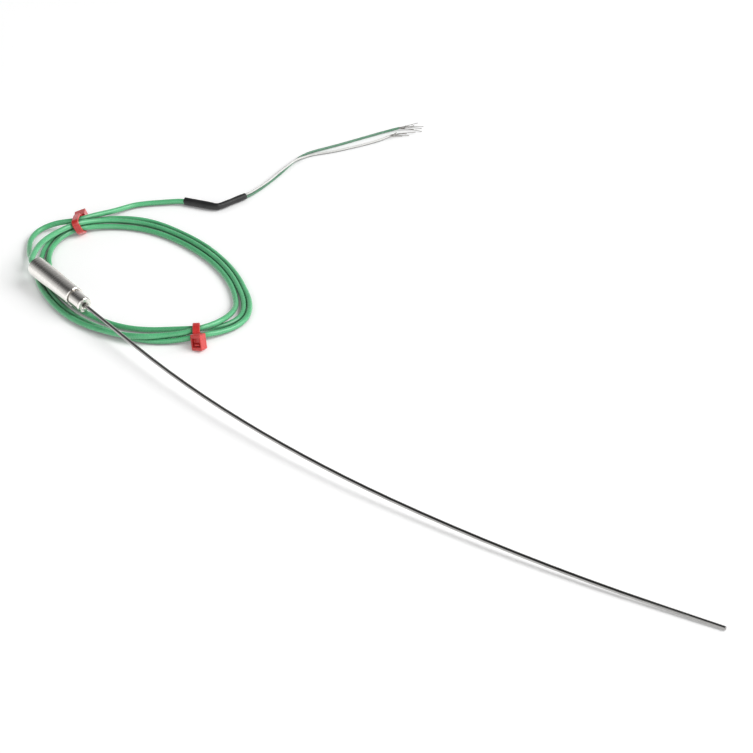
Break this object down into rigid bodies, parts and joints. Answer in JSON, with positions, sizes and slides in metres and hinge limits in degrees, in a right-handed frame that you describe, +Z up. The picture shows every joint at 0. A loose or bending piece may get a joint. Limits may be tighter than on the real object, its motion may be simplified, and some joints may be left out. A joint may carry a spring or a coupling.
{
  "type": "thermocouple probe",
  "caption": "Thin flexible metal-sheathed thermocouple probe with a crimped steel pot seal, a tied coil of green lead and bare wire tails, for measuring temperature.",
  "frame": {"origin": "centre of the footprint of the sheath and seal, on the surface they lie on", "axes": "+X along the seal's axis towards the tip, +Z up from the surface, the sheath bends towards +Y"},
  "size_m": [0.3574, 0.2105, 0.0111],
  "materials": {
    "sheath_steel": "bright drawn stainless steel",
    "pot_steel": "satin turned stainless steel",
    "thermo_alloy": "drawn nickel alloy wire",
    "oxide": "packed white oxide powder",
    "resin": "cured black resin",
    "core_green": "smooth green insulation",
    "core_white": "smooth white insulation",
    "conductor": "bare alloy strands",
    "ferrule": "crimped",
    "splice_sleeve": "thin insulating sleeve",
    "lead_jacket": "smooth green jacket",
    "heatshrink": "matt black shrink sleeve",
    "cable_tie": "moulded red nylon"
  },
  "bodies": {
    "root": {"sheath_tube": "sheath_steel", "tip_plug": "sheath_steel", "pot_body": "pot_steel", "pot_front_bush": "pot_steel", "thermoelement_positive": "thermo_alloy", "thermoelement_negative": "thermo_alloy", "measuring_junction": "thermo_alloy", "mineral_insulation": "oxide", "sheath_end_seal": "resin", "potting_resin": "resin", "pot_core_positive": "core_green", "pot_core_negative": "core_white", "pot_conductor_positive": "conductor", "pot_conductor_negative": "conductor", "splice_ferrule_positive": "ferrule", "splice_ferrule_negative": "ferrule", "splice_sleeve_positive": "splice_sleeve", "splice_sleeve_negative": "splice_sleeve", "lead_exit_run": "lead_jacket", "lead_coil": "lead_jacket", "lead_tail_run": "lead_jacket", "heatshrink_sleeve": "heatshrink", "tail_core_positive": "core_green", "tail_core_negative": "core_white", "strands_positive": "conductor", "strands_negative": "conductor", "cable_tie_top": "cable_tie", "cable_tie_bottom": "cable_tie"}
  },
  "joints": []
}
